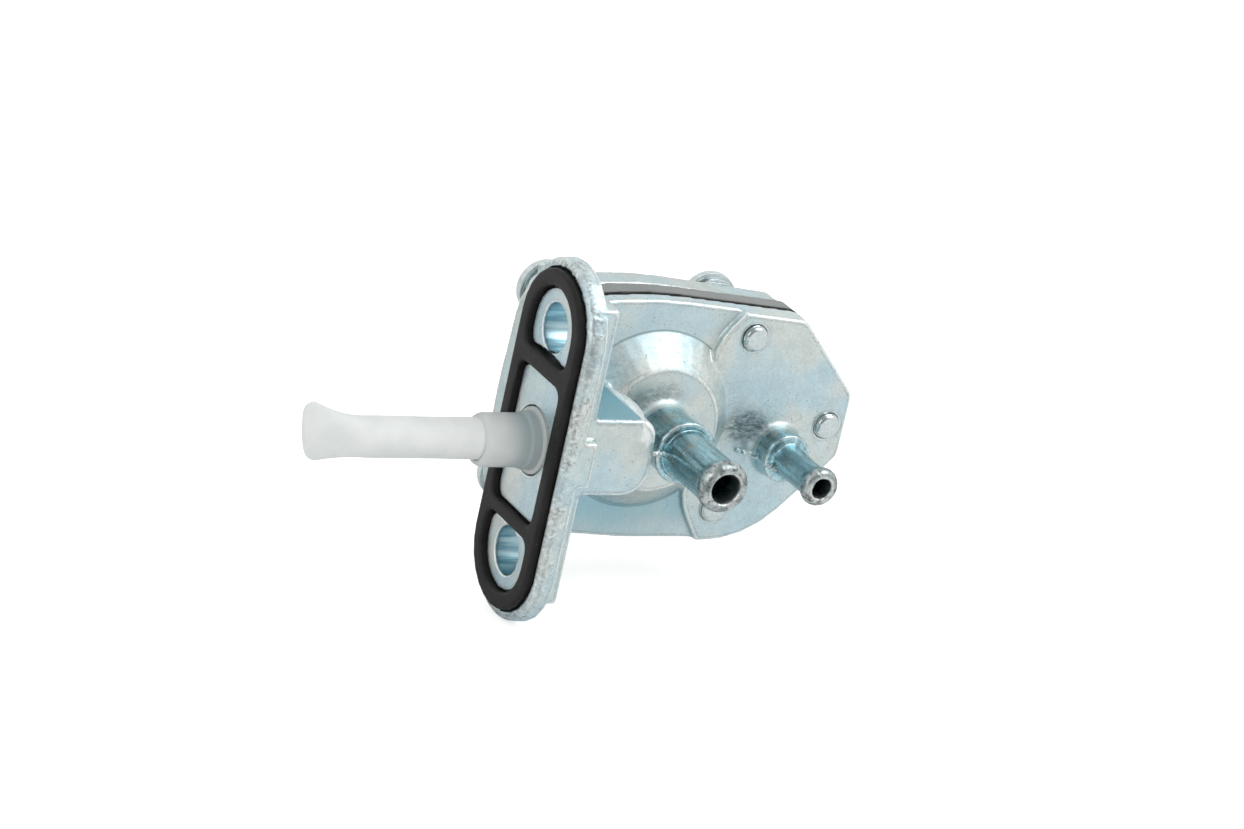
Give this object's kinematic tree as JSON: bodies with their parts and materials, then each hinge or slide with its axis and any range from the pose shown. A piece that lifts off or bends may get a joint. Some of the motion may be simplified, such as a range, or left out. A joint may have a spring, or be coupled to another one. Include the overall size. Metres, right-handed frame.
{
  "type": "vacuum fuel tap",
  "caption": "Vacuum-operated fuel tap with an oval two-hole tank flange, rubber gasket, nylon filter, hose nipples and a screwed diaphragm stack.",
  "frame": {"origin": "centre of the flange's sealing face, on the line of its filter bore", "axes": "-X out of the sealing face into the tank, +Z along the flange through both bolt holes, -Y the way the hose nipples point"},
  "size_m": [0.093, 0.0416, 0.054],
  "materials": {
    "zinc_plate": "blue zinc plated casting, satin",
    "screw_zinc": "zinc plated steel",
    "spring_steel": "drawn wire",
    "black_rubber": "moulded matte",
    "milky_nylon": "translucent moulding",
    "grey_plastic": "moulded",
    "white_acetal": "moulded"
  },
  "bodies": {
    "housing": {"body": "zinc_plate", "flange_gasket": "black_rubber", "filter_base": "milky_nylon", "filter_screen": "milky_nylon", "diaphragm_front": "black_rubber", "spacer_plate": "grey_plastic", "diaphragm_rear": "black_rubber", "rear_cover": "zinc_plate", "return_spring": "spring_steel", "cover_screw_front_top": "screw_zinc", "cover_screw_front_bottom": "screw_zinc", "cover_screw_end": "screw_zinc", "cover_screw_rear_top": "screw_zinc", "cover_screw_rear_bottom": "screw_zinc", "lock_washer_front_top": "screw_zinc", "lock_washer_front_bottom": "screw_zinc", "lock_washer_end": "screw_zinc", "lock_washer_rear_top": "screw_zinc", "lock_washer_rear_bottom": "screw_zinc"},
    "plunger": {"valve_plunger": "white_acetal", "valve_seal": "black_rubber", "diaphragm_puck": "white_acetal", "spring_seat": "screw_zinc", "retaining_clip": "spring_steel"}
  },
  "joints": [
    {"name": "valve_lift", "type": "slide", "parent": "housing", "child": "plunger", "axis": [0, 1, 0], "range_m": [0, 0.0015], "stiffness_N_per_m": 300, "springref_m": -0.003, "deforming": ["return_spring", "diaphragm_front", "diaphragm_rear"]}
  ]
}
